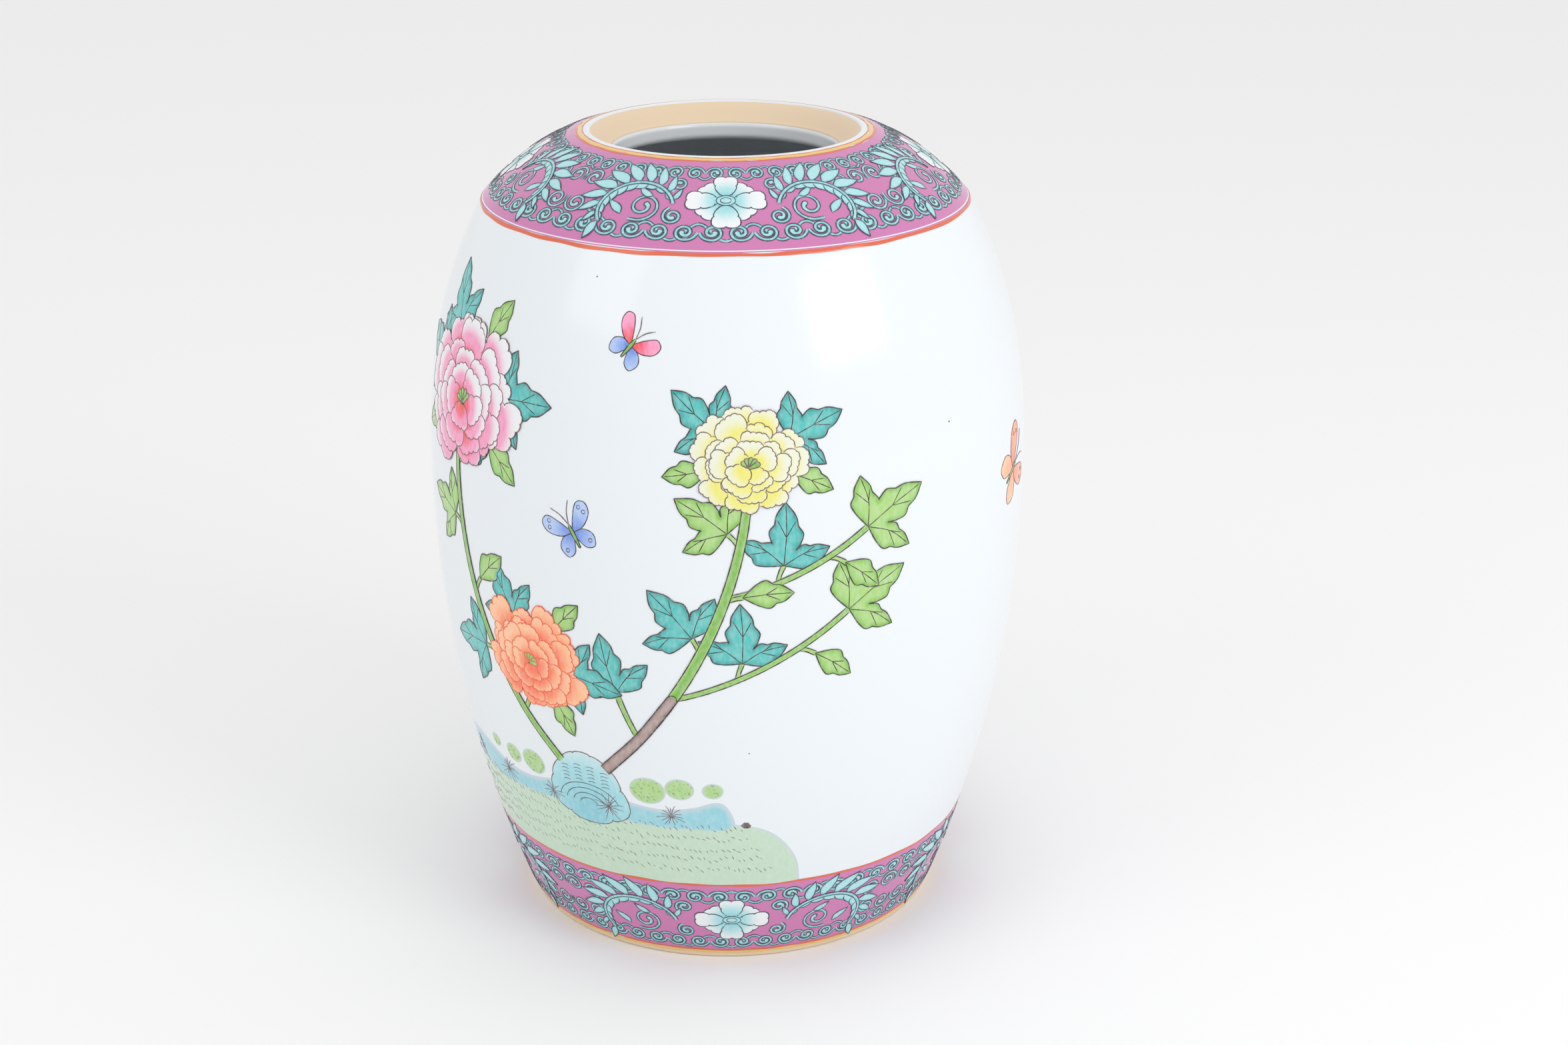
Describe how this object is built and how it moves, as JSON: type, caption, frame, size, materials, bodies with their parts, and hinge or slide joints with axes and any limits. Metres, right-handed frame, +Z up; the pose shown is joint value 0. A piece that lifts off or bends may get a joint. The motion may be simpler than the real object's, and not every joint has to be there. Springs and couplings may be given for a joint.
{
  "type": "ginger jar",
  "caption": "Lidless porcelain ginger jar: a swelling barrel on a bare foot ring, a sharp-edged domed shoulder and a wide low mouth with a conical lid seat.",
  "frame": {"origin": "middle of the foot ring's underside, where the jar stands", "axes": "+Z up along the jar's axis, out of the mouth; -Y faces the painted side with the yellow peony"},
  "size_m": [0.2256, 0.2256, 0.3012],
  "materials": {
    "biscuit": "matt, bare fired clay",
    "porcelain_clay": "hidden under the glaze",
    "clear_glaze": "glossy, faintly blue-white",
    "pink_enamel": "brushed rose-pink overglaze enamel",
    "turquoise_enamel": "pale turquoise overglaze enamel",
    "red_enamel": "thin iron-red overglaze enamel",
    "yellow_enamel": "straw-yellow overglaze enamel",
    "green_enamel": "shaded green overglaze enamel",
    "dark_line": "fine brown-black outline enamel"
  },
  "bodies": {
    "root": {"foot_ring": "biscuit", "base_disc": "porcelain_clay", "lower_body": "porcelain_clay", "upper_body": "porcelain_clay", "shoulder_dome": "porcelain_clay", "mouth_ring": "biscuit", "outer_glaze": "clear_glaze", "inner_glaze": "clear_glaze", "base_glaze": "clear_glaze", "foot_yellow_line": "yellow_enamel", "foot_red_line": "red_enamel", "foot_border_ground": "pink_enamel", "foot_border_top_line": "red_enamel", "shoulder_red_line": "red_enamel", "shoulder_border_ground": "pink_enamel", "mouth_red_line": "red_enamel", "mouth_yellow_line": "yellow_enamel", "lip_red_line": "red_enamel"}
  },
  "joints": []
}
